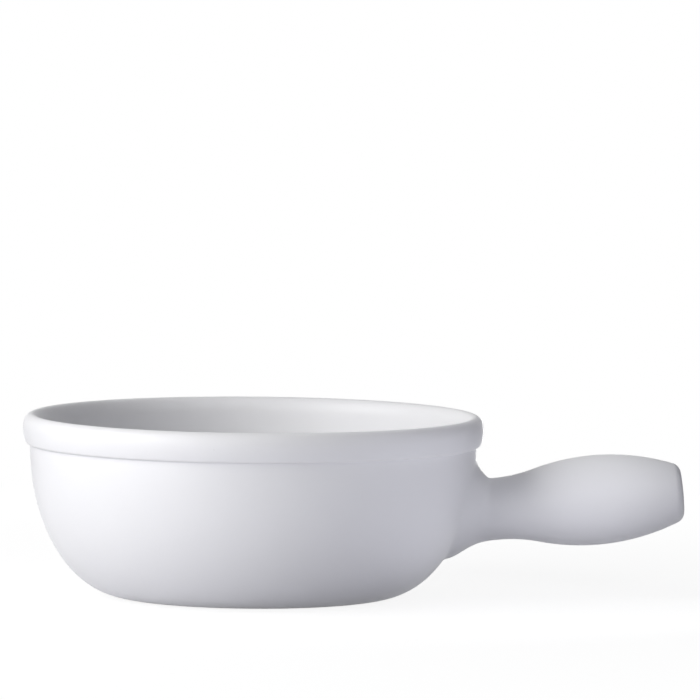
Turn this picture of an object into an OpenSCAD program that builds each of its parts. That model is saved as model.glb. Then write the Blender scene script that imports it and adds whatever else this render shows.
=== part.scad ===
// Fondue pot in glazed white stoneware: a round bowl with a thick rim band, and one hollow
// stick handle. The handle's flared root is saddled to the bowl's wall and luted on with slip.
// Origin at the centre of the base, +Z up, +X along the handle.

/* [Bowl] */
// Diameter across the rim band
rim_d = 230; // [200:1:260]
// Height from the table to the top of the lip
bowl_h = 90.4; // [82:0.2:110]
// Diameter of the base that stands on the table
base_d = 128.8; // [110:0.2:150]
// Thickness of the wall just under the rim band
wall_t = 5.5; // [4.5:0.1:7]
// Thickness of the floor
floor_t = 6; // [4:0.1:9]
// Diameter of the level floor inside the bowl
floor_d = 120; // [100:1:140]

/* [Rim band and lip] */
// Height of the rim band, from its lower edge to the top of the lip
band_h = 14.6; // [12:0.1:20]
// How far the band stands out from the wall below it
band_step = 3.6; // [3:0.1:5]
// How far the band's face draws in towards its lower edge
band_draw = 1.4; // [0.6:0.1:1.8]
// Rounding of the band's lower edge
band_edge_r = 1.2; // [0.5:0.1:1.6]
// Fillet in the corner under the band
band_fillet_r = 0.7; // [0.3:0.1:1.1]
// Width of the lip's outer rounding, from the band's face in to the crest
lip_out = 4.3; // [3:0.1:6]
// Drop of the lip's outer rounding
lip_out_h = 6.4; // [3:0.1:7]
// Drop of the lip's inner rounding
lip_in_h = 8; // [3:0.1:9]

/* [Foot] */
// Width of the bare foot ring
foot_w = 12; // [6:0.5:20]
// Depth of the hollow inside the foot ring
foot_hollow = 1.2; // [0.5:0.1:2]

/* [Handle] */
// Gap from the rim band's face to the handle's neck
neck_gap = 6.5; // [4:0.1:12]
// Drop from the band's lower edge to the handle's axis at the neck
neck_drop = 31.8; // [28:0.1:36]
// Rise of the handle towards its end, in degrees
handle_rise = 5.6; // [0:0.1:12]
// Diameter of the neck, the handle's thinnest place
neck_d = 31; // [27:0.2:35]
// Diameter of the swell, the handle's thickest place
swell_d = 44.8; // [41:0.2:49]
// Distance from the neck to the swell
swell_at = 50; // [45:0.5:58]
// Radius of the long arc over the swell
swell_arc = 110; // [95:1:125]
// Distance from the neck to the handle's end
handle_l = 93.6; // [86:0.2:101]
// Rounding around the handle's end
end_r = 5.6; // [3:0.1:9]
// Rise of the slight dome on the end face
end_dome = 0.4; // [0.1:0.1:1.5]
// Thickness of the hollow handle's wall
handle_t = 5; // [4:0.1:6]
// Diameter of the vent in the handle's end
vent_d = 6; // [4:0.5:9]

/* [Handle root and slip] */
// Diameter of the flared root where it sits on the bowl
root_d = 45.4; // [43:0.2:51]
// How late the flare opens: 1 is even, more keeps the neck slim for longer
flare_bend = 1.5; // [1:0.05:1.8]
// Thickness of the slip between the root and the bowl
slip_t = 0.7; // [0.4:0.1:1.2]
// Size of the slip's bead above the root
bead_top = 4; // [1:0.1:5]
// Size of the slip's bead at the root's sides
bead_side = 7; // [3:0.1:9]
// Size of the slip's bead below the root
bead_low = 1.3; // [0.6:0.1:2]

/* [Hidden] */

glaze_white = [0.92, 0.92, 0.935];
slip_white = [0.88, 0.88, 0.89];

// Steps along each rounded stretch
wall_steps = 36;
round_steps = 8;
edge_steps = 4;
sides = 48;
flare_steps = 11;
grip_steps = 22;
cavity_steps = 8;
cavity_flare_steps = 6;
toe_steps = 3;
bead_steps = 6;

// Bowl
rim_r = rim_d / 2;
base_r = base_d / 2;
wall_r = rim_r - band_step;
inner_r = wall_r - wall_t;
floor_r = floor_d / 2;
floor_z = foot_hollow + floor_t;
foot_in_r = base_r - foot_w;
band_low = bowl_h - band_h;
band_low_r = rim_r - band_draw;
// The ledge under the band limits the two roundings that share it, each to its share
ledge = band_low_r - wall_r;
edge_share = 0.65;
fillet_share = 0.33;
edge_r = min(band_edge_r, edge_share * ledge);
fillet_r = min(band_fillet_r, fillet_share * ledge);
wall_top = band_low - fillet_r;
lip_crest_r = rim_r - lip_out;
lip_low = bowl_h - lip_out_h;
band_face_low = band_low + edge_r;
// Lean of the band's face, from upright, where it runs into its lower edge
band_lean = atan(2 * band_draw / (lip_low - band_face_low));

// Handle, in its own turned shape about its axis
neck_r = neck_d / 2;
swell_r = swell_d / 2;
root_r = root_d / 2;
vent_r = vent_d / 2;
cavity_root_r = root_r - handle_t;
cavity_end = handle_l - handle_t;
cavity_round = 10;
cavity_round_at = cavity_end - cavity_round;
swelling = swell_r - neck_r;
// The neck's hollow arc meets the swell's arc with no kink
neck_arc = (pow(swell_at, 2) + pow(swelling, 2)) / (2 * swelling) - swell_arc;
arcs_meet = swell_at * neck_arc / (neck_arc + swell_arc);
swell_centre = swell_r - swell_arc;
// The end's rounding lies inside the swell's arc and touches the end face
end_at = handle_l - end_r;
end_face_r = swell_centre + sqrt(pow(swell_arc - end_r, 2) - pow(end_at - swell_at, 2));
end_turn = atan2(end_face_r - swell_centre, end_at - swell_at);
grip_end = end_at + end_r * cos(end_turn);

// The handle's axis leaves the bowl at the neck
neck = [rim_r + neck_gap, 0, band_low - neck_drop];
along = [cos(handle_rise), 0, sin(handle_rise)];
upward = [-sin(handle_rise), 0, cos(handle_rise)];
sideways = [0, 1, 0];
angles = [for (i = [0:sides - 1]) 360 * i / sides];

// Points of an elliptic arc after its first one
function arc(centre, rx, ry, from, to, steps) =
    [for (i = [1:steps])
        let (a = from + (to - from) * i / steps)
        [centre.x + rx * cos(a), centre.y + ry * sin(a)]];

// Radius of the bowl's outer wall at a height, a quarter ellipse from base to band
function wall_at(z) =
    let (down = (wall_top - min(max(z, 0), wall_top)) / wall_top)
    base_r + (wall_r - base_r) * sqrt(1 - down * down);

// A point beside the handle's axis: distance from the neck, radius and angle
function beside(s, r, a) = neck + s * along + r * (cos(a) * upward + sin(a) * sideways);

// Distance along the axis at which a line beside it meets the bowl's wall
function seat(r, a, s = 0, tries = 14) =
    tries == 0 ? s :
    let (p = beside(s, r, a))
    let (wall_x = sqrt(pow(wall_at(p.z), 2) - p.y * p.y))
    seat(r, a, s + (wall_x - p.x) / along.x, tries - 1);

function wall_point(r, a) = beside(seat(r, a), r, a);

function on_wall(r) = [for (a = angles) wall_point(r, a)];

// Radius of the root's flare: 0 at the neck, 1 where the root sits on the slip
function flare(t) = neck_r + (root_r - neck_r) * (1 - cos(180 * pow(t, flare_bend))) / 2;

function flare_slope(t) =
    (root_r - neck_r) * sin(180 * pow(t, flare_bend)) * PI / 2 * flare_bend * pow(t, flare_bend - 1);

// Radius of the grip from the neck to the end's rounding
function grip(s) =
    s < arcs_meet
    ? neck_r + neck_arc - sqrt(pow(neck_arc, 2) - s * s)
    : swell_centre + sqrt(pow(swell_arc, 2) - pow(s - swell_at, 2));

function end_face(r) = handle_l + end_dome * (1 - pow(r / end_face_r, 2));

function turned_ring(s, r) = [for (a = angles) beside(s, r, a)];

// Where the root and its hollow end on the slip, for each angle around the handle
root_seat = [for (a = angles) seat(root_r, a) + slip_t];
cavity_seat = [for (a = angles) seat(cavity_root_r, a) + slip_t];
// The bead is fullest at the root's sides, less on its top and slight below it
bead = [for (a = angles)
    cos(a) > 0
    ? bead_top + (bead_side - bead_top) * pow(sin(a), 2)
    : bead_low + (bead_side - bead_low) * pow(sin(a), 4)];
// How far the bead follows the wall from its toe and the flare from its top, as shares of it
toe_pull = 0.67;
top_pull = 0.5;
// Share of the flare that is left clear of the bead, which a very short flare limits
least_clear = 0.2;
clear_flare = [for (i = [0:sides - 1]) max(1 + bead[i] / root_seat[i], least_clear)];
// Slope of the straight way from the bead's top down to the root's outline on the wall
way_down = [for (i = [0:sides - 1])
    let (t = clear_flare[i])
    (root_r - flare(t)) / (1 - slip_t / root_seat[i] - t)];

// The root's edge, where that straight way comes to the slip
function root_ring() =
    [for (i = [0:sides - 1])
        let (t = clear_flare[i])
        beside(root_seat[i], flare(t) + (1 - t) * way_down[i], angles[i])];

function cavity_ring(t) =
    [for (i = [0:sides - 1]) beside(t * cavity_seat[i], flare(t) - handle_t, angles[i])];

// A ring of the flare, from the slip's bead at 1 to the neck at 0
function flare_ring(share) =
    [for (i = [0:sides - 1])
        let (t = share * clear_flare[i])
        beside(t * root_seat[i], flare(t), angles[i])];

// The handle's skin, ring by ring: out along the outside and back through the hollow
function handle_rings() = concat(
    [root_ring()],
    [for (i = [0:flare_steps]) flare_ring(1 - i / flare_steps)],
    [for (i = [1:grip_steps])
        let (s = grip_end * i / grip_steps)
        turned_ring(s, grip(s))],
    [for (p = arc([end_at, end_face_r], end_r, end_r, end_turn, 0, edge_steps)) turned_ring(p.x, p.y)],
    [for (i = [1:edge_steps])
        let (r = end_face_r + (vent_r - end_face_r) * i / edge_steps)
        turned_ring(end_face(r), r)],
    [turned_ring(cavity_end, vent_r)],
    [for (p = arc([cavity_round_at, vent_r], cavity_round, grip(cavity_round_at) - handle_t - vent_r,
                  0, 90, edge_steps)) turned_ring(p.x, p.y)],
    [for (i = [1:cavity_steps])
        let (s = cavity_round_at * (1 - i / cavity_steps))
        turned_ring(s, grip(s) - handle_t)],
    [for (i = [1:cavity_flare_steps]) cavity_ring(i / cavity_flare_steps)]
);

// A ring on the wall under the bead, from the root's outline at 0 to the bead's toe at 1
function toe_ring(share) =
    [for (i = [0:sides - 1]) wall_point(root_r + share * bead[i], angles[i])];

// The ring that leads the bead's top along the flare
function lead_ring() =
    [for (i = [0:sides - 1])
        let (t = clear_flare[i])
        let (step = top_pull * (1 - t))
        beside((t + step) * root_seat[i], flare(t) + step * max(flare_slope(t), way_down[i]), angles[i])];

// The slip's skin: along the bowl's wall, up over the bead and back under the root
function slip_rings() =
    let (toe = toe_ring(1))
    let (by_toe = toe_ring(1 - toe_pull))
    let (by_top = lead_ring())
    let (top = flare_ring(1))
    concat(
        [on_wall(cavity_root_r), on_wall(root_r - handle_t / 2), on_wall(root_r)],
        [for (k = [1:toe_steps - 1]) toe_ring(k / toe_steps)],
        [toe],
        [for (k = [1:bead_steps - 1])
            let (t = k / bead_steps)
            let (left = 1 - t)
            [for (i = [0:sides - 1])
                pow(left, 3) * toe[i] + 3 * t * left * left * by_toe[i]
                + 3 * t * t * left * by_top[i] + pow(t, 3) * top[i]]],
        [top, root_ring(), cavity_ring(1)]
    );

// A closed skin over rings that join up all round and from the last back to the first.
// Each four-sided patch is split along its shorter diagonal, so skins that touch agree.
module skin(rings) {
    count = len(rings);
    points = [for (ring = rings) each ring];
    faces = [for (i = [0:count - 1], j = [0:sides - 1])
        let (next_i = (i + 1) % count)
        let (next_j = (j + 1) % sides)
        let (a = i * sides + j)
        let (b = i * sides + next_j)
        let (c = next_i * sides + next_j)
        let (d = next_i * sides + j)
        each norm(points[a] - points[c]) < norm(points[b] - points[d])
            ? [[a, b, c], [a, c, d]]
            : [[a, b, d], [b, c, d]]];
    polyhedron(points = points, faces = faces, convexity = 6);
}

// Half section of the bowl: hollow foot, outer wall, band, lip, inner wall and floor
bowl_section = concat(
    [[0, foot_hollow], [foot_in_r - foot_hollow, foot_hollow], [foot_in_r, 0], [base_r, 0]],
    arc([base_r, wall_top], wall_r - base_r, wall_top, -90, 0, wall_steps),
    arc([wall_r + fillet_r, wall_top], fillet_r, fillet_r, 180, 90, edge_steps),
    [[band_low_r - edge_r, band_low]],
    arc([band_low_r - edge_r, band_face_low], edge_r, edge_r, -90, -band_lean, edge_steps),
    [for (i = [1:round_steps])
        let (t = 1 - i / round_steps)
        [rim_r - band_draw * t * t, lip_low - (lip_low - band_face_low) * t]],
    arc([lip_crest_r, lip_low], lip_out, lip_out_h, 0, 90, round_steps),
    arc([lip_crest_r, bowl_h - lip_in_h], lip_crest_r - inner_r, lip_in_h, 90, 180, round_steps),
    [[inner_r, wall_top]],
    arc([floor_r, wall_top], inner_r - floor_r, wall_top - floor_z, 0, -90, wall_steps),
    [[0, floor_z]]
);

// Bowl: one jiggered stoneware shell, glazed all over but for the foot ring
module bowl() {
    color(glaze_white)
        rotate_extrude($fn = 144)
            polygon(bowl_section);
}

// Slip seam: the layer of liquid clay that joins the handle to the wall, wiped to a bead
// that is full at the root's sides and slight below it
module slip_seam() {
    color(slip_white)
        skin(slip_rings());
}

// Handle: one hollow slip-cast shell with a flared root and a vent in its end
module handle() {
    color(glaze_white)
        skin(handle_rings());
}

bowl();
slip_seam();
handle();
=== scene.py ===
import math

import bmesh
import bpy
from mathutils import Matrix, Vector


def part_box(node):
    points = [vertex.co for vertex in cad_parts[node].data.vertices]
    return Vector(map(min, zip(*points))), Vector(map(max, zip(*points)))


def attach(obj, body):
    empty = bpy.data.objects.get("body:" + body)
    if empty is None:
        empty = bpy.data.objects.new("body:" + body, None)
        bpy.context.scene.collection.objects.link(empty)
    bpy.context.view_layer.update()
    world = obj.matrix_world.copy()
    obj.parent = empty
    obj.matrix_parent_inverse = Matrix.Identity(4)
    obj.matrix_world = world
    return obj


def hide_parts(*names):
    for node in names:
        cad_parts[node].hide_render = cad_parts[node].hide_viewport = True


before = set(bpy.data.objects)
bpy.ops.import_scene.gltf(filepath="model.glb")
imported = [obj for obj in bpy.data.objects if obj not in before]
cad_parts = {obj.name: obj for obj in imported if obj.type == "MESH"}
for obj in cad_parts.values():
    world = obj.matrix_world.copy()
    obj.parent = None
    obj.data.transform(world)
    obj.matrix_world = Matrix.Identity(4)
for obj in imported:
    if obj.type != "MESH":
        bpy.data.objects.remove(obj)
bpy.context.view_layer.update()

# Bowl: one stoneware shell, pressed in a spinning plaster mould, with a thick rim band, a rounded
# lip and a flat foot ring. White glaze covers it inside and out, and stops in a thin rolled edge
# just above the foot, where the clay is left bare.
mm = 0.001
bowl_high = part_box("bowl")[1]
bowl_sizes = {
    "Rim radius": bowl_high.y,
    "Height": bowl_high.z,
    "Base radius": 64.4 * mm,
    "Wall": 5.5 * mm,
    "Floor": 6 * mm,
    "Floor radius": 60 * mm,
    "Band height": 14.6 * mm,
    "Band step": 3.6 * mm,
    "Band draw": 1.4 * mm,
    "Band edge": 1.2 * mm,
    "Band fillet": 0.7 * mm,
    "Lip out": 4.3 * mm,
    "Lip out drop": 6.4 * mm,
    "Lip in drop": 8 * mm,
    "Foot width": 12 * mm,
    "Foot hollow": 1.2 * mm,
    "Glaze line": 0.5 * mm,
    "Glaze edge": 0.16 * mm,
}
bowl_sides = 240
bowl_crease = 45
weld = 0.003 * mm
full_turn = 2 * math.pi

# The coat of glaze is 1 where it is even: it pools under the band, runs thin on the band's edge and
# on the lip, and ends a little short of even at its rolled edge, which curls in by a share of itself
pool_extra = 0.4
band_edge_loss = 0.25
lip_loss = 0.2
rolled_coat = 0.9
roll_in = 0.8


class Wire:
    """A socket of a node tree. Arithmetic on it adds Math nodes, and node adds any other node.

    Without a socket it is a bench, on which a tree's first nodes are made.
    """

    def __init__(self, tree, socket=None):
        self.tree = tree
        self.socket = socket

    def node(self, kind, settings, links, out=0):
        made = self.tree.nodes.new(kind)
        for name, value in settings.items():
            setattr(made, name, value)
        for key, value in links.items():
            for one in value if isinstance(value, list) else [value]:
                if isinstance(one, Wire):
                    self.tree.links.new(one.socket, made.inputs[key])
                else:
                    made.inputs[key].default_value = one
        return Wire(self.tree, made.outputs[out] if made.outputs else None)

    def other(self, out):
        return Wire(self.tree, self.socket.node.outputs[out])

    def maths(self, operation, *values):
        return self.node("ShaderNodeMath", {"operation": operation}, dict(enumerate(values)))

    def __add__(self, value):
        return self.maths("ADD", self, value)

    def __radd__(self, value):
        return self.maths("ADD", value, self)

    def __sub__(self, value):
        return self.maths("SUBTRACT", self, value)

    def __rsub__(self, value):
        return self.maths("SUBTRACT", value, self)

    def __mul__(self, value):
        return self.maths("MULTIPLY", self, value)

    def __rmul__(self, value):
        return self.maths("MULTIPLY", value, self)

    def __truediv__(self, value):
        return self.maths("DIVIDE", self, value)

    def __rtruediv__(self, value):
        return self.maths("DIVIDE", value, self)

    def __lt__(self, value):
        return self.maths("LESS_THAN", self, value)

    def __gt__(self, value):
        return self.maths("GREATER_THAN", self, value)

    def power(self, value):
        return self.maths("POWER", self, value)

    def root(self):
        return self.maths("SQRT", self)

    def sin(self):
        return self.maths("SINE", self)

    def cos(self):
        return self.maths("COSINE", self)

    def at_least(self, value):
        return self.maths("MAXIMUM", self, value)

    def at_most(self, value):
        return self.maths("MINIMUM", self, value)


def clay_strip(bench, rows, sides, place, coat):
    """A strip of skin: place gives x, y, z for a share and a turn, and coat the glaze on it for a share.

    A share goes from 0 to 1 over the strip's rows, and a turn goes once round.
    """
    grid = bench.node("GeometryNodeMeshGrid", {}, {
        "Size X": 1.0, "Size Y": 1.0, "Vertices X": rows + 1, "Vertices Y": sides + 1})
    flat = bench.node("ShaderNodeSeparateXYZ", {}, {0: bench.node("GeometryNodeInputPosition", {}, {})})
    share = flat + 0.5
    turn = (flat.other(1) + 0.5) * full_turn
    x, y, z = place(share, turn)
    point = bench.node("ShaderNodeCombineXYZ", {}, {0: x, 1: y, 2: z})
    bent = bench.node("GeometryNodeSetPosition", {}, {"Geometry": grid, "Position": point})
    return bench.node("GeometryNodeStoreNamedAttribute", {"data_type": "FLOAT", "domain": "POINT"}, {
        "Geometry": bent, "Name": "coat", "Value": coat(share)})


def even_coat(share):
    return 1.0


def bare_clay(share):
    return 0.0


def size_tree(name, labels, result):
    """A new geometry tree with a number for each label: its bench and the labels' sockets."""
    tree = bpy.data.node_groups.new(name, "GeometryNodeTree")
    tree.interface.new_socket("Result", in_out="OUTPUT", socket_type=result)
    for label in labels:
        tree.interface.new_socket(label, in_out="INPUT", socket_type="NodeSocketFloat")
    given = tree.nodes.new("NodeGroupInput")
    return Wire(tree), {label: Wire(tree, given.outputs[label]) for label in labels}


def fire(name, sizes, shape, material, crease):
    """Builds a piece's tree from its sizes, and from it a plain closed mesh.

    Edges that bend by more than the crease, in degrees, stay sharp.
    """
    bench, size = size_tree(name, sizes, "NodeSocketGeometry")
    joined = bench.node("GeometryNodeJoinGeometry", {}, {"Geometry": shape(bench, size)})
    closed = bench.node("GeometryNodeMergeByDistance", {}, {"Geometry": joined, "Distance": weld})
    smooth = bench.node("GeometryNodeSetShadeSmooth", {}, {"Geometry": closed})
    real = bench.node("GeometryNodeRealizeInstances", {}, {"Geometry": smooth})
    glazed = bench.node("GeometryNodeSetMaterial", {}, {"Geometry": real, "Material": material})
    bench.node("NodeGroupOutput", {}, {0: glazed})

    piece = bpy.data.objects.new(name, bpy.data.meshes.new(name))
    bpy.context.scene.collection.objects.link(piece)
    modifier = piece.modifiers.new("shape", "NODES")
    modifier.node_group = bench.tree
    for socket in bench.tree.interface.items_tree:
        if socket.in_out == "INPUT":
            modifier[socket.identifier] = sizes[socket.name]
    evaluated = piece.evaluated_get(bpy.context.evaluated_depsgraph_get())
    mesh = bpy.data.meshes.new_from_object(evaluated)
    piece.modifiers.remove(modifier)
    piece.data = mesh
    clay = bmesh.new()
    clay.from_mesh(mesh)
    bmesh.ops.recalc_face_normals(clay, faces=clay.faces)
    if clay.calc_volume(signed=True) < 0:
        bmesh.ops.reverse_faces(clay, faces=clay.faces)
    clay.to_mesh(mesh)
    clay.free()
    mesh.set_sharp_from_angle(angle=math.radians(crease))
    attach(piece, "root")
    return piece


def shader_bench(holder):
    """The emptied node tree of a material or a world, as a bench."""
    holder.use_nodes = True
    holder.node_tree.nodes.clear()
    return Wire(holder.node_tree)


def white_glaze():
    """Satin white glaze on pale stoneware, softly wavy, with a fine peel and stray pinholes."""
    material = bpy.data.materials.new("white_glaze")
    bench = shader_bench(material)
    where = bench.node("ShaderNodeTexCoord", {}, {}, "Object")
    blue_white, plain_white = (0.838, 0.838, 0.852, 1.0), (0.862, 0.861, 0.868, 1.0)
    pooled_white, thin_white = (0.80, 0.81, 0.84, 1.0), (0.74, 0.70, 0.64, 1.0)
    pinhole_grey = (0.42, 0.40, 0.38, 1.0)
    dark_clay, pale_clay = (0.36, 0.31, 0.27, 1.0), (0.58, 0.52, 0.45, 1.0)
    pool_tint, thin_tint, pit_tint = 0.2, 0.35, 0.15
    wave_depth, peel_depth, pit_depth, grit_depth = 0.07 * mm, 0.004 * mm, 0.03 * mm, 0.03 * mm
    satin_rough, clay_rough = 0.44, 0.85
    cloud_rough, mottle_rough, pit_rough = 0.07, 0.05, 0.2
    bare_coat, thin_coat, ragged = 0.35, 0.6, 0.2
    pit_rarity, pit_core, pit_rim = 0.82, 0.008, 0.03

    def noise(scale, detail, roughness):
        return bench.node("ShaderNodeTexNoise", {}, {
            "Vector": where, "Scale": scale, "Detail": detail, "Roughness": roughness})

    def mix(share, first, second):
        return bench.node("ShaderNodeMix", {"data_type": "RGBA"}, {0: share, 6: first, 7: second}, 2)

    def ramp(value, low, high):
        return bench.node("ShaderNodeMapRange", {"interpolation_type": "SMOOTHSTEP"}, {
            "Value": value, "From Min": low, "From Max": high})

    clouds = noise(scale=24.0, detail=2.0, roughness=0.5)
    mottle = noise(scale=160.0, detail=3.0, roughness=0.55)
    peel = noise(scale=620.0, detail=2.0, roughness=0.5)
    grit = noise(scale=1500.0, detail=3.0, roughness=0.6)
    coat = bench.node("ShaderNodeAttribute", {"attribute_name": "coat"}, {}, "Fac")
    glazed = ramp(coat + (mottle - 0.5) * ragged, bare_coat, thin_coat)
    thin = 1.0 - ramp(coat, thin_coat, 1.0)
    pooled = ramp(coat, 1.0, 1.0 + pool_extra)

    cells = bench.node("ShaderNodeTexVoronoi", {"feature": "F1"}, {"Vector": where, "Scale": 60.0})
    chosen = bench.node("ShaderNodeSeparateColor", {}, {0: cells.other(1)}) > pit_rarity
    pit = (1.0 - ramp(cells, pit_core, pit_rim)) * chosen * glazed

    white = mix(clouds, blue_white, plain_white)
    white = mix(pooled * pool_tint, white, pooled_white)
    white = mix(thin * thin_tint * mottle, white, thin_white)
    white = mix(pit * pit_tint, white, pinhole_grey)
    clay = mix(grit, dark_clay, pale_clay)
    colour = mix(glazed, clay, white)

    satin = satin_rough + clouds * cloud_rough + mottle * mottle_rough + pit * pit_rough
    rough = satin * glazed + (1.0 - glazed) * clay_rough
    height = (clouds * wave_depth + peel * peel_depth - pit * pit_depth) * glazed
    height = height + grit * (1.0 - glazed) * grit_depth
    bump = bench.node("ShaderNodeBump", {}, {"Strength": 1.0, "Distance": 1.0, "Height": height})
    surface = bench.node("ShaderNodeBsdfPrincipled", {}, {
        "Base Color": colour, "Roughness": rough, "IOR": 1.5, "Normal": bump})
    bench.node("ShaderNodeOutputMaterial", {}, {"Surface": surface})
    return material


def wall_top_of(size):
    return size["Height"] - size["Band height"] - size["Band fillet"]


def bowl_shape(bench, size):
    """The bowl's skin from the centre of the underside, out and up over the rim, and in to the floor."""
    rim_r, height, base_r = size["Rim radius"], size["Height"], size["Base radius"]
    wall_r = rim_r - size["Band step"]
    inner_r = wall_r - size["Wall"]
    band_low = height - size["Band height"]
    wall_top = wall_top_of(size)
    hollow = size["Foot hollow"]
    foot_in_r = base_r - size["Foot width"]
    floor_r = size["Floor radius"]
    floor_z = hollow + size["Floor"]
    lip_low = height - size["Lip out drop"]
    crest_r = rim_r - size["Lip out"]
    edge = size["Band edge"]
    low_face_r = rim_r - size["Band draw"]

    def turned(rows, radius, level, coat=even_coat):
        def place(share, turn):
            r = radius(share)
            return r * turn.cos(), r * turn.sin(), level(share)
        return clay_strip(bench, rows, bowl_sides, place, coat)

    def line(rows, start, end, coat=even_coat):
        return turned(rows, lambda t: start[0] + (end[0] - start[0]) * t,
                      lambda t: start[1] + (end[1] - start[1]) * t, coat)

    def arc(rows, centre, rx, rz, start, end, coat=even_coat):
        return turned(rows, lambda t: centre[0] + rx * (start + (end - start) * t).cos(),
                      lambda t: centre[1] + rz * (start + (end - start) * t).sin(), coat)

    # The glaze line, as an angle on the wall's quarter ellipse, which starts straight down
    down = -0.5 * math.pi
    line_drop = 1.0 - size["Glaze line"] / wall_top
    line_turn = down + bench.maths("ARCCOSINE", line_drop)
    line_r = base_r + (wall_r - base_r) * line_turn.cos()
    line_z = wall_top + wall_top * line_turn.sin()
    roll = size["Glaze edge"]

    # The band's face runs into its lower edge with no kink, which two tries settle
    face_low = band_low + edge
    for attempt in range(2):
        slope = 2.0 * size["Band draw"] / (lip_low - face_low)
        steep = (1.0 + slope * slope).root()
        face_low = band_low + edge * (1.0 - slope / steep)
    edge_centre = (low_face_r - edge / steep, band_low + edge)
    edge_end = -1.0 * bench.maths("ARCTANGENT", slope)

    # Each strip opens with its number of rows
    return [
        line(14, (0.0, hollow), (foot_in_r - hollow, hollow)),
        turned(10, lambda t: foot_in_r - hollow * (1.0 - t),
               lambda t: hollow * (0.5 + 0.5 * (t * math.pi).cos()), lambda t: 1.0 - t),
        line(8, (foot_in_r, 0.0), (base_r, 0.0), bare_clay),
        turned(8, lambda t: base_r + (wall_r - base_r) * (down + (line_turn - down) * t).cos(),
               lambda t: wall_top + wall_top * (down + (line_turn - down) * t).sin() + roll * t,
               bare_clay),
        turned(6, lambda t: line_r - roll * roll_in * (t * math.pi).sin(),
               lambda t: line_z + roll * (0.5 + 0.5 * (t * math.pi).cos()),
               lambda t: t.at_most(rolled_coat)),
        arc(72, (base_r, wall_top), wall_r - base_r, wall_top, line_turn, 0.0),
        arc(8, (wall_r + size["Band fillet"], wall_top), size["Band fillet"], size["Band fillet"],
            math.pi, 0.5 * math.pi, lambda t: 1.0 + pool_extra * (t * math.pi).sin()),
        line(4, (wall_r + size["Band fillet"], band_low), (edge_centre[0], band_low)),
        arc(10, edge_centre, edge, edge, down, edge_end,
            lambda t: 1.0 - band_edge_loss * (t * math.pi).sin()),
        turned(24, lambda t: rim_r - size["Band draw"] * (1.0 - t) * (1.0 - t),
               lambda t: face_low + (lip_low - face_low) * t),
        arc(18, (crest_r, lip_low), size["Lip out"], size["Lip out drop"],
            0.0, 0.5 * math.pi, lambda t: 1.0 - lip_loss * t),
        arc(18, (crest_r, height - size["Lip in drop"]), crest_r - inner_r, size["Lip in drop"],
            0.5 * math.pi, math.pi, lambda t: (1.0 - lip_loss) + lip_loss * t),
        line(8, (inner_r, height - size["Lip in drop"]), (inner_r, wall_top)),
        arc(60, (floor_r, wall_top), inner_r - floor_r, wall_top - floor_z, 0.0, down),
        line(16, (floor_r, floor_z), (0.0, floor_z)),
    ]


glaze = white_glaze()
bowl = fire("bowl_shell", bowl_sizes, bowl_shape, glaze, bowl_crease)
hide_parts("bowl")

# Handle: a hollow stoneware casting with a slim neck, a swelling grip and a blunt rounded end with
# a small vent for the kiln. Its flared root is cut to the bowl's wall and luted on before firing.
wall_labels = ("Rim radius", "Height", "Base radius", "Band height", "Band step", "Band fillet")
seat_labels = wall_labels + ("Neck gap", "Neck drop", "Rise")
handle_sizes = {
    **{label: bowl_sizes[label] for label in wall_labels},
    "Neck gap": 6.5 * mm,
    "Neck drop": 31.8 * mm,
    "Rise": math.radians(5.6),
    "Neck radius": 15.5 * mm,
    "Swell radius": 22.4 * mm,
    "Swell at": 50 * mm,
    "Swell arc": 110 * mm,
    "Length": 93.6 * mm,
    "End rounding": 5.6 * mm,
    "End dome": 0.4 * mm,
    "Shell": 5 * mm,
    "Vent radius": 3 * mm,
    "Vent softening": 0.7 * mm,
    "Cavity rounding": 10 * mm,
    "Root radius": 22.7 * mm,
    "Flare bend": 1.5,
    "Slip": 0.7 * mm,
    "Bead above": 4 * mm,
    "Bead beside": 7 * mm,
    "Bead below": 1.3 * mm,
}
handle_sides = 160
handle_crease = 7
seat_tries = 5
vent_coat = 0.7


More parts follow.
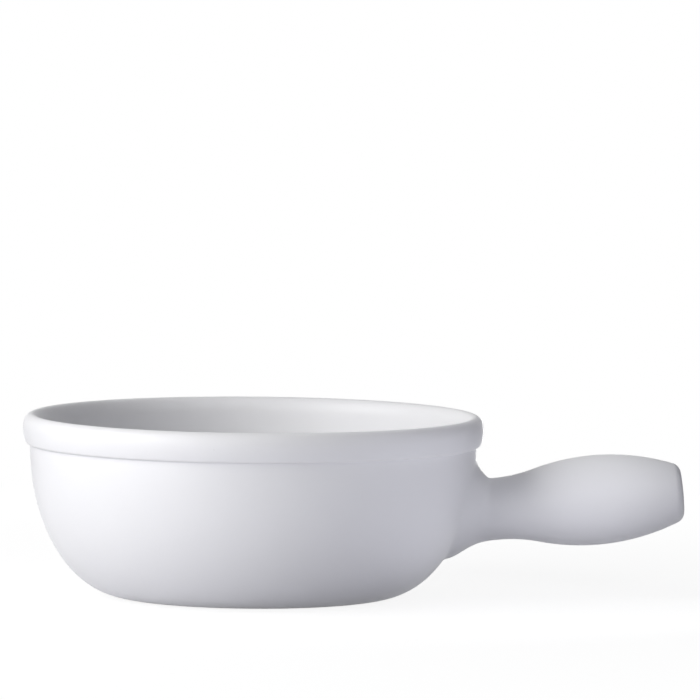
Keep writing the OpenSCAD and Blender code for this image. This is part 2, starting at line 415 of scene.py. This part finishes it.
class HandleRule:
    """Where things lie about the handle's axis, and where a line beside it meets the bowl's wall.

    In its methods s runs along the axis from the neck, r out from the axis, and turn round it from the
    top. A share of the flare is 0 at the neck and 1 at the root.
    """

    def __init__(self, bench, size):
        self.bench = bench
        self.size = size
        self.base_r = size["Base radius"]
        self.wall_r = size["Rim radius"] - size["Band step"]
        self.wall_top = wall_top_of(size)
        self.neck_x = size["Rim radius"] + size["Neck gap"]
        self.neck_z = size["Height"] - size["Band height"] - size["Neck drop"]
        self.tilt_cos, self.tilt_sin = size["Rise"].cos(), size["Rise"].sin()
        self.root_r = size.get("Root radius")
        self.inner_root_r = self.root_r - size["Shell"] if self.root_r else None

    def beside(self, s, r, turn):
        out = r * turn.cos()
        return (self.neck_x + s * self.tilt_cos - out * self.tilt_sin, r * turn.sin(),
                self.neck_z + s * self.tilt_sin + out * self.tilt_cos)

    def meet_wall(self, r, turn):
        """Where a line along the axis meets the wall, found in a few tries."""
        s = 0.0 * turn
        for attempt in range(seat_tries):
            x, y, z = self.beside(s, r, turn)
            down = (self.wall_top - z.at_least(0.0).at_most(self.wall_top)) / self.wall_top
            wall = self.base_r + (self.wall_r - self.base_r) * (1.0 - down * down).root()
            s = s + ((wall * wall - y * y).root() - x) / self.tilt_cos
        return s

    def seat(self, r, turn):
        """The same, from a node group that all the pieces share."""
        links = {label: self.size[label] for label in seat_labels}
        links.update({"Radius": r, "Turn": turn})
        return self.bench.node("GeometryNodeGroup", {"node_tree": seat_tree}, links)

    def flare(self, t):
        opened = 0.5 - 0.5 * (t.power(self.size["Flare bend"]) * math.pi).cos()
        return self.size["Neck radius"] + (self.root_r - self.size["Neck radius"]) * opened

    def flare_slope(self, t):
        bend = self.size["Flare bend"]
        opening = (t.power(bend) * math.pi).sin() * (0.5 * math.pi) * bend * t.power(bend - 1.0)
        return (self.root_r - self.size["Neck radius"]) * opening

    def root_seat(self, turn):
        """Where the root's edge sits, on top of the slip."""
        return self.seat(self.root_r, turn) + self.size["Slip"]

    def bead(self, turn):
        """How far the bead reaches, out over the wall and along the handle alike."""
        above, beside, below = (self.size[label] for label in ("Bead above", "Bead beside", "Bead below"))
        across = turn.sin() * turn.sin()
        upper = turn.cos() > 0.0
        over = above + (beside - above) * across
        under = below + (beside - below) * across * across
        return over * upper + under * (1.0 - upper)

    def clear(self, turn):
        """The share of the flare that is clear of the bead."""
        return 1.0 + self.bead(turn) / self.root_seat(turn)

    def way_down(self, turn):
        """How steeply the skin goes on from there to the wall, under the bead."""
        clear = self.clear(turn)
        return (self.root_r - self.flare(clear)) / (1.0 - self.size["Slip"] / self.root_seat(turn) - clear)

    def under_bead(self, t, turn):
        """The handle's skin under the bead, from the root's edge to where it comes clear."""
        clear = self.clear(turn)
        share = 1.0 - (1.0 - clear) * t
        return share * self.root_seat(turn), self.flare(clear) + (share - clear) * self.way_down(turn)

    def root_face(self, t, turn):
        """The root's face that sits on the slip, from the hollow to the root's edge."""
        inner_s = self.seat(self.inner_root_r, turn) + self.size["Slip"]
        edge_s, edge_r = self.under_bead(0.0 * t, turn)
        return inner_s + (edge_s - inner_s) * t, self.inner_root_r + (edge_r - self.inner_root_r) * t

    def strip(self, rows, line, coat=even_coat):
        def place(share, turn):
            s, r = line(share, turn)
            return self.beside(s, r, turn)
        return clay_strip(self.bench, rows, handle_sides, place, coat)


bench, size = size_tree("wall_seat", seat_labels + ("Radius", "Turn"), "NodeSocketFloat")
seat_tree = bench.tree
bench.node("NodeGroupOutput", {}, {0: HandleRule(bench, size).meet_wall(size["Radius"], size["Turn"])})


def handle_shape(bench, size):
    """The handle's skin from the root along the outside to the vent, and back through the hollow."""
    rule = HandleRule(bench, size)
    neck_r, swell_at, swell_arc = size["Neck radius"], size["Swell at"], size["Swell arc"]
    length, end_r, shell = size["Length"], size["End rounding"], size["Shell"]
    swelling = size["Swell radius"] - neck_r
    neck_arc = (swell_at * swell_at + swelling * swelling) / (2.0 * swelling) - swell_arc
    arcs_meet = swell_at * neck_arc / (neck_arc + swell_arc)
    swell_centre = size["Swell radius"] - swell_arc
    end_at = length - end_r
    inside = swell_arc - end_r
    end_face_r = swell_centre + (inside * inside - (end_at - swell_at) * (end_at - swell_at)).root()
    end_turn = bench.maths("ARCTAN2", end_face_r - swell_centre, end_at - swell_at)
    grip_end = end_at + end_r * end_turn.cos()
    vent_r, soft = size["Vent radius"], size["Vent softening"]
    cavity_end = length - shell
    cavity_round = size["Cavity rounding"]
    cavity_at = cavity_end - cavity_round

    def grip(s):
        hollow = neck_r + neck_arc - (neck_arc * neck_arc - s * s).root()
        swell = swell_centre + (swell_arc * swell_arc - (s - swell_at) * (s - swell_at)).root()
        near = s < arcs_meet
        return hollow * near + swell * (1.0 - near)

    def end_face(r):
        return length + size["End dome"] * (1.0 - (r / end_face_r) * (r / end_face_r))

    def face_r(t):
        return end_face_r + (vent_r + soft - end_face_r) * t

    def quarter(t):
        return t * (0.5 * math.pi)

    vent_face = end_face(vent_r + soft)
    cavity_rise = grip(cavity_at) - shell - vent_r

    def flare_line(t, turn):
        share = (1.0 - t) * rule.clear(turn)
        return share * rule.root_seat(turn), rule.flare(share)

    def end_round(t, turn):
        lean = end_turn * (1.0 - t)
        return end_at + end_r * lean.cos(), end_face_r + end_r * lean.sin()

    def vent_edge(t, turn):
        return vent_face - soft * (1.0 - quarter(t).cos()), vent_r + soft * (1.0 - quarter(t).sin())

    def vent_bore(t, turn):
        return vent_face - soft + (cavity_end - vent_face + soft) * t, vent_r

    def hollow_end(t, turn):
        return cavity_at + cavity_round * quarter(t).cos(), vent_r + cavity_rise * quarter(t).sin()

    def hollow_grip(t, turn):
        s = cavity_at * (1.0 - t)
        return s, grip(s) - shell

    def hollow_flare(t, turn):
        return t * (rule.seat(rule.inner_root_r, turn) + size["Slip"]), rule.flare(t) - shell

    # Each strip opens with its number of rows
    return [
        rule.strip(4, rule.under_bead),
        rule.strip(48, flare_line),
        rule.strip(72, lambda t, turn: (grip_end * t, grip(grip_end * t))),
        rule.strip(18, end_round),
        rule.strip(14, lambda t, turn: (end_face(face_r(t)), face_r(t))),
        rule.strip(16, vent_edge, lambda t: 1.0 - (1.0 - vent_coat) * t),
        rule.strip(6, vent_bore, lambda t: vent_coat - t.at_most(vent_coat)),
        rule.strip(10, hollow_end, bare_clay),
        rule.strip(20, hollow_grip, bare_clay),
        rule.strip(12, hollow_flare, bare_clay),
        rule.strip(6, rule.root_face, bare_clay),
    ]


handle = fire("handle_shell", handle_sizes, handle_shape, glaze, handle_crease)
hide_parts("handle")

# Slip seam: the thin layer of liquid clay that sticks the root to the wall, wiped with a wet finger
# to a bead that is full at the root's sides and slight below it. It is fired and glazed with the rest.
joint_labels = seat_labels + (
    "Neck radius", "Shell", "Root radius", "Flare bend", "Slip", "Bead above", "Bead beside", "Bead below")
slip_sizes = {
    **{label: handle_sizes[label] for label in joint_labels},
    "Toe pull": 0.67,
    "Top pull": 0.5,
}


def slip_shape(bench, size):
    """The slip's skin along the wall, up over the bead and back under the root."""
    rule = HandleRule(bench, size)

    def on_wall(t, turn):
        r = rule.inner_root_r + (rule.root_r + rule.bead(turn) - rule.inner_root_r) * t
        return rule.seat(r, turn), r

    def bead_line(t, turn):
        bead, clear, root_seat = rule.bead(turn), rule.clear(turn), rule.root_seat(turn)
        toe_r = rule.root_r + bead
        by_toe_r = toe_r - bead * size["Toe pull"]
        step = size["Top pull"] * (1.0 - clear)
        top_r = rule.flare(clear)
        by_top_r = top_r + step * rule.flare_slope(clear).at_least(rule.way_down(turn))
        left = 1.0 - t
        shares = (left * left * left, 3.0 * t * left * left, 3.0 * t * t * left, t * t * t)
        along = (rule.seat(toe_r, turn), rule.seat(by_toe_r, turn),
                 (clear + step) * root_seat, clear * root_seat)
        radii = (toe_r, by_toe_r, by_top_r, top_r)
        return (sum(share * s for share, s in zip(shares, along)),
                sum(share * r for share, r in zip(shares, radii)))

    def inner_rim(t, turn):
        return rule.seat(rule.inner_root_r, turn) + size["Slip"] * (1.0 - t), rule.inner_root_r

    return [
        rule.strip(12, on_wall),
        rule.strip(32, bead_line),
        rule.strip(4, lambda t, turn: rule.under_bead(1.0 - t, turn)),
        rule.strip(6, lambda t, turn: rule.root_face(1.0 - t, turn), bare_clay),
        rule.strip(2, inner_rim, bare_clay),
    ]


slip = fire("slip_bead", slip_sizes, slip_shape, glaze, handle_crease)
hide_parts("slip_seam")

# Table: a wide sheet of white paper laid flat just under the foot. Light bounces off it as off plain
# paper. The camera and reflections see it near white, with a faint soft shadow close to the pot, and
# it fades into the white room.
table_half = 3.0
table_drop = 0.1 * mm
shadow_reach, shadow_end = 0.2, 0.6
pure_white = (1.0, 1.0, 1.0, 1.0)
paper_white = (0.64, 0.64, 0.68, 1.0)
shadow_grey = (0.19, 0.19, 0.19, 1.0)
shadow_white = 0.88


def seen_rays(bench):
    """1 for rays that show a surface: the camera's, and those of reflections and clear things."""
    rays = bench.node("ShaderNodeLightPath", {}, {}, "Is Camera Ray")
    return rays.at_least(rays.other("Is Glossy Ray")).at_least(rays.other("Is Transmission Ray"))


def card(name, corners, paint):
    """A flat card through four corners."""
    mesh = bpy.data.meshes.new(name)
    mesh.from_pydata(corners, [], [(0, 1, 2, 3)])
    mesh.materials.append(paint)
    made = bpy.data.objects.new(name, mesh)
    bpy.context.scene.collection.objects.link(made)
    return made


table_paint = bpy.data.materials.new("table_white")
bench = shader_bench(table_paint)
seen = seen_rays(bench)
spot = bench.node("ShaderNodeTexCoord", {}, {}, "Object")
reach = bench.node("ShaderNodeVectorMath", {"operation": "LENGTH"}, {0: spot}, "Value")
away = bench.node("ShaderNodeMapRange", {"interpolation_type": "SMOOTHSTEP"}, {
    "Value": reach, "From Min": shadow_reach, "From Max": shadow_end})
paper = bench.node("ShaderNodeBsdfDiffuse", {}, {"Color": paper_white})
faint_paper = bench.node("ShaderNodeBsdfDiffuse", {}, {"Color": shadow_grey})
glow = bench.node("ShaderNodeEmission", {}, {"Color": pure_white, "Strength": shadow_white})
near_white = bench.node("ShaderNodeAddShader", {}, {0: faint_paper, 1: glow})
far_white = bench.node("ShaderNodeEmission", {}, {"Color": pure_white, "Strength": 1.0})
lit = bench.node("ShaderNodeMixShader", {}, {0: away, 1: near_white, 2: far_white})
table_shade = bench.node("ShaderNodeMixShader", {}, {0: seen, 1: paper, 2: lit})
bench.node("ShaderNodeOutputMaterial", {}, {"Surface": table_shade})
table = card("table", [(-table_half, -table_half, 0), (table_half, -table_half, 0),
                       (table_half, table_half, 0), (-table_half, table_half, 0)], table_paint)
table.location.z = -table_drop

# Flags: two matt black cards that stand behind the pot at its left and right, out of the frame. Only
# reflections show them: they give the white glaze a thin darker line along its outline.
flag_height, flag_behind = 0.2, 0.25
flag_spans = {"left_flag": (-0.14, -0.6), "right_flag": (0.245, 0.7)}
matt_black = (0.02, 0.02, 0.02, 1.0)
flag_black = bpy.data.materials.new("flag_black")
bench = shader_bench(flag_black)
cloth = bench.node("ShaderNodeBsdfDiffuse", {}, {"Color": matt_black})
bench.node("ShaderNodeOutputMaterial", {}, {"Surface": cloth})
for name, (near_x, far_x) in flag_spans.items():
    flag = card(name, [(near_x, flag_behind, 0), (far_x, flag_behind, 0),
                       (far_x, flag_behind, flag_height), (near_x, flag_behind, flag_height)], flag_black)
    flag.visible_camera = flag.visible_diffuse = flag.visible_shadow = False

# Room: plain white where the camera and reflections look. The light that it throws on things is faint
# and soft, and comes from all round.
soft_white = (0.95, 0.96, 1.0, 1.0)
soft_strength = 0.01
room = bpy.data.worlds.new("room")
bpy.context.scene.world = room
bench = shader_bench(room)
seen = seen_rays(bench)
white_room = bench.node("ShaderNodeBackground", {}, {"Color": pure_white, "Strength": 1.0})
soft_room = bench.node("ShaderNodeBackground", {}, {"Color": soft_white, "Strength": soft_strength})
room_shade = bench.node("ShaderNodeMixShader", {}, {0: seen, 1: soft_room, 2: white_room})
bench.node("ShaderNodeOutputWorld", {}, {"Surface": room_shade})

# Lamps: two broad soft panels at the left, weak ones at the right, overhead and behind, low cards
# behind and at the right that stay under the rim, a small card close in front of the handle's root,
# and two sheets just above the table that throw light up from below.
pot_middle = Vector((30 * mm, 0, 45 * mm))
under_rim = Vector((30 * mm, 0, 40 * mm))
root_front = Vector((115 * mm, -20 * mm, 43 * mm))
panel_far, card_far, root_far = 1.6, 0.7, 0.15
sheet_aim, sheet_lift = 100 * mm, 2 * mm
neutral = (1.0, 1.0, 1.0)
cool = (0.91, 0.915, 1.0)


def panel(name, aim, azimuth, elevation, distance, size, watts, colour):
    """A soft panel that faces a point. Azimuth is 0 on the camera's side and grows to the right."""
    turn, lift = math.radians(azimuth), math.radians(elevation)
    way = Vector((math.sin(turn) * math.cos(lift), -math.cos(turn) * math.cos(lift), math.sin(lift)))
    lamp = bpy.data.lights.new(name, "AREA")
    lamp.shape = "RECTANGLE"
    lamp.size, lamp.size_y = size
    lamp.energy = watts
    lamp.color = colour
    holder = bpy.data.objects.new(name, lamp)
    holder.location = aim + way * distance
    holder.rotation_euler = (-way).to_track_quat("-Z", "Y").to_euler()
    holder.visible_camera = False
    bpy.context.scene.collection.objects.link(holder)


def sheet(name, x, y, size, watts):
    """A bright sheet just above the table that faces straight up."""
    panel(name, Vector((x, y, sheet_aim)), 0, -90, sheet_aim - sheet_lift, size, watts, cool)


panel("key_panel", pot_middle, -51, 13, panel_far, (1.2, 0.7), 12.3, neutral)
panel("side_panel", pot_middle, -68, 35, panel_far, (1.2, 1.0), 13.8, neutral)
panel("fill_panel", pot_middle, 75, 25, panel_far, (1.0, 0.6), 2.0, cool)
panel("top_panel", pot_middle, 0, 85, panel_far, (1.2, 1.2), 2.6, cool)
panel("back_panel", pot_middle, 180, 50, panel_far, (1.4, 1.0), 1.6, neutral)
panel("back_card", under_rim, 180, 0, card_far, (0.5, 0.07), 2.0, neutral)
panel("right_card", under_rim, 80, 0, card_far, (0.6, 0.07), 0.14, cool)
panel("root_card", root_front, 27, 24, root_far, (0.15, 0.09), 0.041, cool)
sheet("front_sheet", 0, -230 * mm, (0.35, 0.16), 0.08)
sheet("right_sheet", 160 * mm, -95 * mm, (0.12, 0.1), 0.018)

# Camera: a long lens at the photograph's angle, looking down by about five degrees, and aimed above
# and to the right of the bowl so that the pot stands low and left in the frame.
image_side = 700
focal_pixels = 7003.5
target = Vector((0, 0, 45 * mm))
target_pixel_x, target_pixel_y = 252.79, 504.8
camera_distance = 3.5
camera_lift = math.radians(5.458)
camera_roll = math.radians(0.482)
target_right = target_pixel_x - image_side / 2
target_down = target_pixel_y - image_side / 2
ahead = Vector((0, math.cos(camera_lift), -math.sin(camera_lift)))
level_right = Vector((1, 0, 0))
level_up = level_right.cross(ahead)
right = level_right * math.cos(camera_roll) + level_up * math.sin(camera_roll)
above = right.cross(ahead)
aim = (ahead - right * (target_right / focal_pixels) + above * (target_down / focal_pixels)).normalized()
right = (right - aim * right.dot(aim)).normalized()
above = right.cross(aim)
lens = bpy.data.cameras.new("camera")
lens.sensor_width = 36
lens.lens = focal_pixels * lens.sensor_width / image_side
lens.clip_end = 100
camera = bpy.data.objects.new("camera", lens)
camera.matrix_world = Matrix.Translation(target - ahead * camera_distance) @ Matrix(
    (right, above, -aim)).transposed().to_4x4()
bpy.context.scene.collection.objects.link(camera)
bpy.context.scene.camera = camera
bpy.context.scene.view_settings.view_transform = "Standard"
